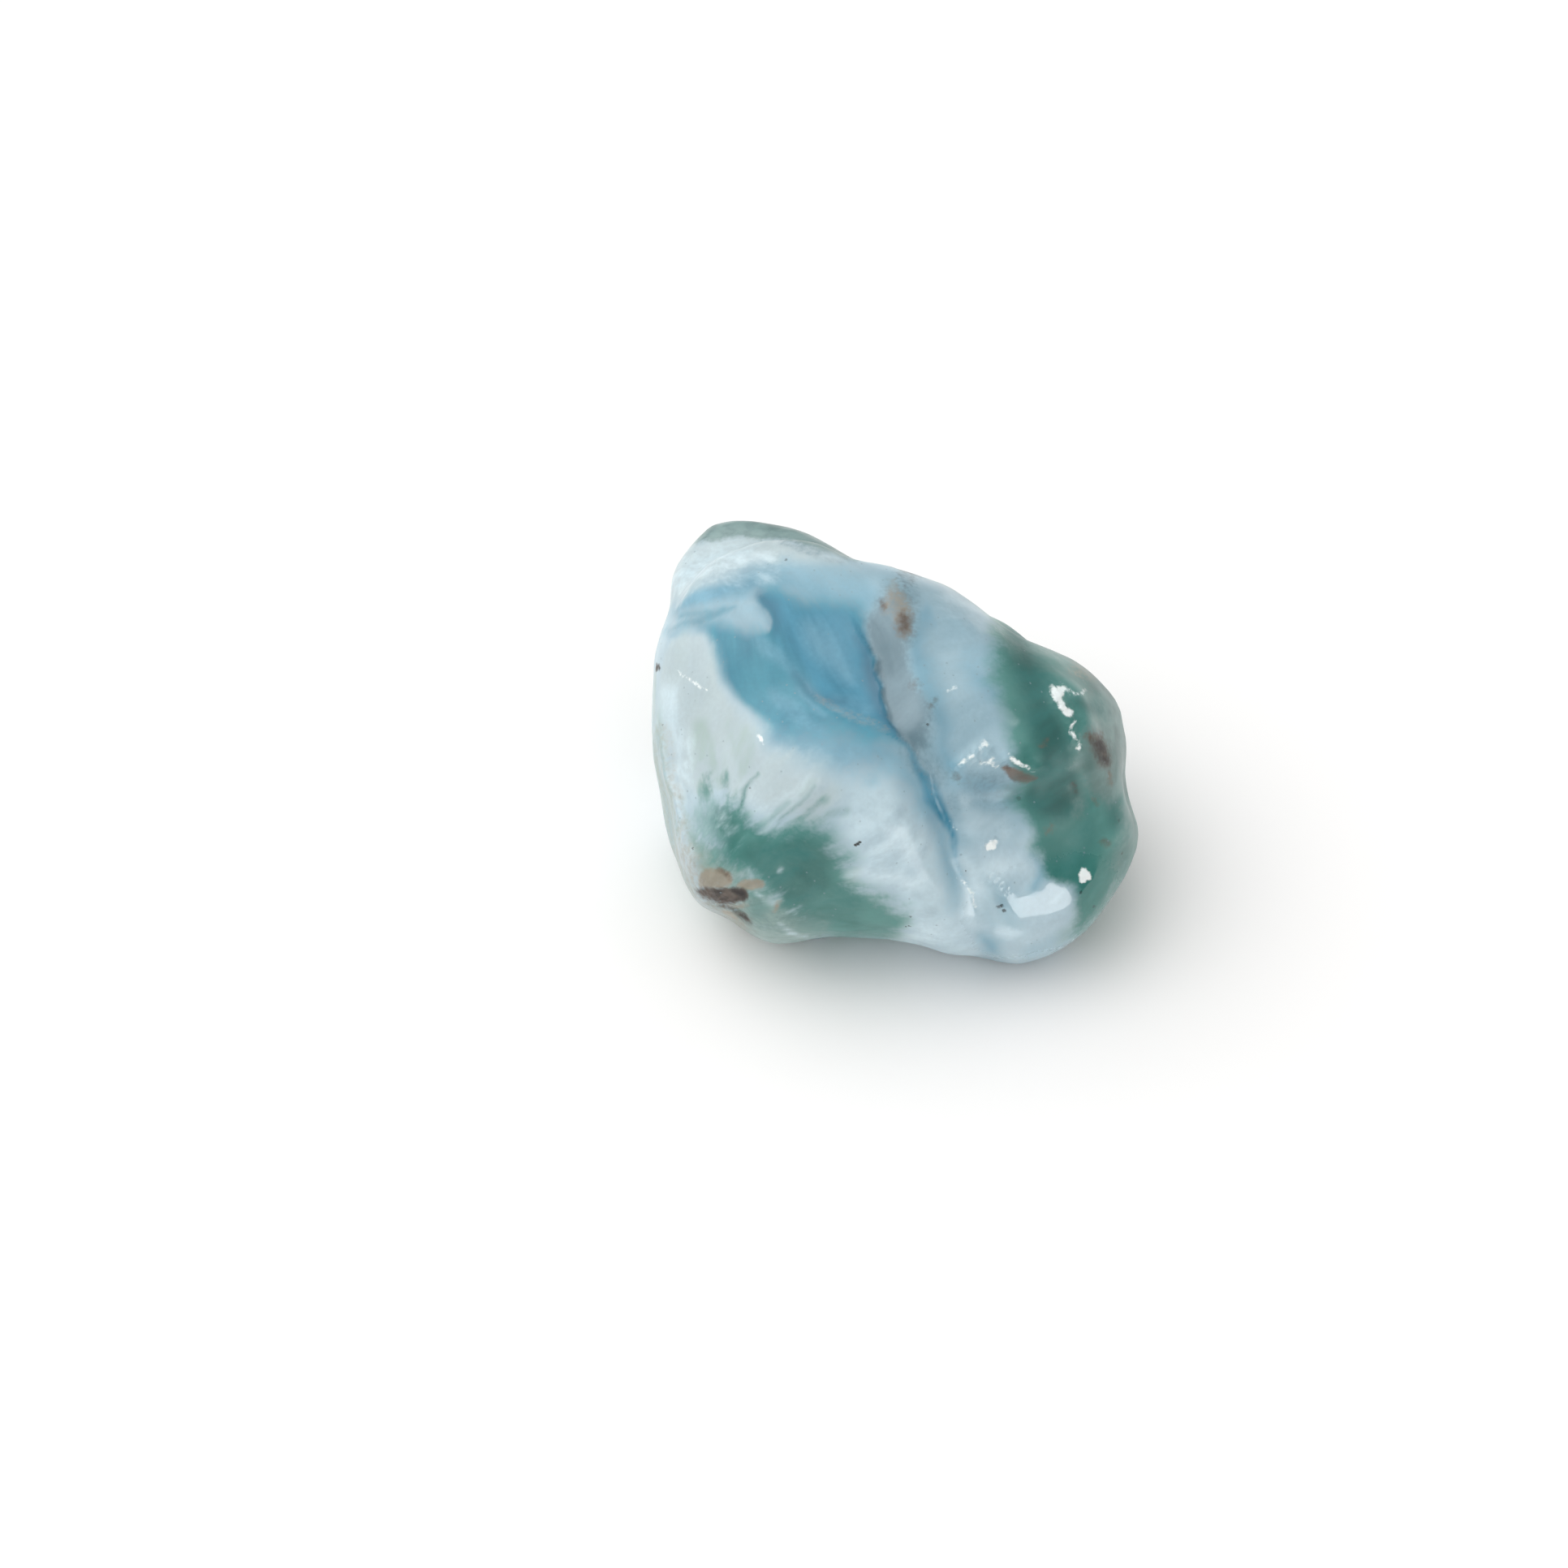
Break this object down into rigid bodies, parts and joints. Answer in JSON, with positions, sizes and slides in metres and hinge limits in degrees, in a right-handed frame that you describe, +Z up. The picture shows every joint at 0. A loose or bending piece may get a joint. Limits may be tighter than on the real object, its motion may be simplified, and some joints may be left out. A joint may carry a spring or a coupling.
{
  "type": "raw larimar stone",
  "caption": "Lightly worn rough piece of sky-blue, white and green larimar with a hollow show face, for display, carving or study.",
  "frame": {"origin": "middle of the stone's footprint box, on the plane that it rests on", "axes": "+Z up, +X to the right as the hollow show face is looked at, along the stone's longest side, and +Y away from the show face"},
  "size_m": [0.032, 0.026, 0.022],
  "materials": {
    "larimar": "wet-looking gloss from tumbling"
  },
  "bodies": {
    "root": {"larimar_stone": "larimar"}
  },
  "joints": []
}
